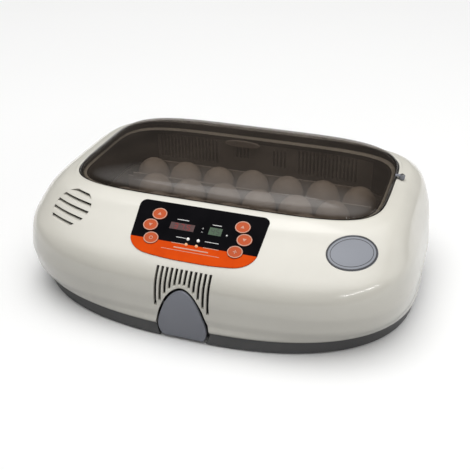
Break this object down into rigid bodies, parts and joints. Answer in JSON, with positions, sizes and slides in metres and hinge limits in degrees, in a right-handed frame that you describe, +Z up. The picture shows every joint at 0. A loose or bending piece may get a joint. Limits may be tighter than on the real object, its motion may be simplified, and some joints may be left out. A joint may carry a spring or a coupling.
{
  "type": "egg incubator",
  "caption": "Tabletop egg incubator with a hinged cover, domed smoked window, control panel, tilting egg rack, fan and heater.",
  "frame": {"origin": "the middle of the underside of the middle rubber foot, on the resting plane, 92 mm behind the middle of the sloping control panel", "axes": "+Z up, -Y towards the user, +X to the user's right"},
  "size_m": [0.448, 0.3246, 0.141],
  "materials": {
    "ivory_shell": "glossy",
    "dark_base": "satin",
    "smoked_window": "clear smoked",
    "gasket": "matt",
    "panel_print": "glossy print, black above orange",
    "button_orange": "satin",
    "red_display": "clear",
    "green_display": "clear",
    "lamp": "clear",
    "blue_grey": "satin",
    "grey_plastic": "satin",
    "pale_plastic": "satin",
    "steel": "brushed",
    "circuit_board": "satin",
    "black_plastic": "satin",
    "foot_rubber": "matt"
  },
  "bodies": {
    "base": {"base_tray": "dark_base", "rubber_feet": "foot_rubber", "base_screws": "steel", "chamber_liner": "grey_plastic", "rack_bearings": "pale_plastic", "turner_motor": "steel", "motor_bracket": "black_plastic", "water_pan": "pale_plastic", "water_port": "black_plastic", "latch_bracket": "black_plastic", "latch_pin": "steel", "latch_spring": "steel", "hinge_base_leaves": "dark_base", "hinge_pins": "steel"},
    "cover": {"top_cover": "ivory_shell", "window": "smoked_window", "window_gasket": "gasket", "control_panel": "panel_print", "temperature_display": "red_display", "humidity_display": "green_display", "indicator_lights": "lamp", "panel_board": "circuit_board", "board_screws": "steel", "oval_badge": "blue_grey", "cover_liner": "grey_plastic", "duct_wall": "grey_plastic", "sensor_cover": "pale_plastic", "fan_housing": "black_plastic", "fan_motor": "black_plastic", "fan_screws": "steel", "heater_element": "steel", "power_inlet": "black_plastic", "hinge_cover_leaves": "ivory_shell", "latch_strike": "black_plastic", "clip_screw": "steel"},
    "latch": {"latch": "blue_grey"},
    "egg_rack": {"egg_rack": "pale_plastic", "drive_shaft": "steel"},
    "fan": {"fan_impeller": "black_plastic", "fan_shaft": "steel"},
    "window_clip": {"window_clip": "blue_grey"},
    "button_1": {"button_1": "button_orange"},
    "button_2": {"button_2": "button_orange"},
    "button_3": {"button_3": "button_orange"},
    "button_4": {"button_4": "button_orange"},
    "button_5": {"button_5": "button_orange"},
    "button_6": {"button_6": "button_orange"}
  },
  "joints": [
    {"name": "cover_hinge", "type": "hinge", "parent": "base", "child": "cover", "pos_m": [0, 0.173, 0.02], "axis": [-1, 0, 0], "range_deg": [0, 70]},
    {"name": "latch_pivot", "type": "hinge", "parent": "base", "child": "latch", "pos_m": [0, -0.1345, 0.011], "axis": [1, 0, 0], "range_deg": [0, 22]},
    {"name": "rack_tilt", "type": "hinge", "parent": "base", "child": "egg_rack", "pos_m": [0, 0.045, 0.042], "axis": [1, 0, 0], "range_deg": [-18, 18]},
    {"name": "fan_spin", "type": "hinge", "parent": "cover", "child": "fan", "pos_m": [0, 0.13, 0.09], "axis": [0, 1, 0], "continuous": true},
    {"name": "window_clip_swivel", "type": "hinge", "parent": "cover", "child": "window_clip", "pos_m": [0.185, 0.062, 0.12], "axis": [0, 0, 1], "range_deg": [-90, 90]},
    {"name": "button_1_press", "type": "slide", "parent": "cover", "child": "button_1", "axis": [0, 0.5071, -0.8619], "range_m": [0, 0.0006]},
    {"name": "button_2_press", "type": "slide", "parent": "cover", "child": "button_2", "axis": [0, 0.5071, -0.8619], "range_m": [0, 0.0006]},
    {"name": "button_3_press", "type": "slide", "parent": "cover", "child": "button_3", "axis": [0, 0.5071, -0.8619], "range_m": [0, 0.0006]},
    {"name": "button_4_press", "type": "slide", "parent": "cover", "child": "button_4", "axis": [0, 0.5071, -0.8619], "range_m": [0, 0.0006]},
    {"name": "button_5_press", "type": "slide", "parent": "cover", "child": "button_5", "axis": [0, 0.5071, -0.8619], "range_m": [0, 0.0006]},
    {"name": "button_6_press", "type": "slide", "parent": "cover", "child": "button_6", "axis": [0, 0.5071, -0.8619], "range_m": [0, 0.0006]}
  ]
}
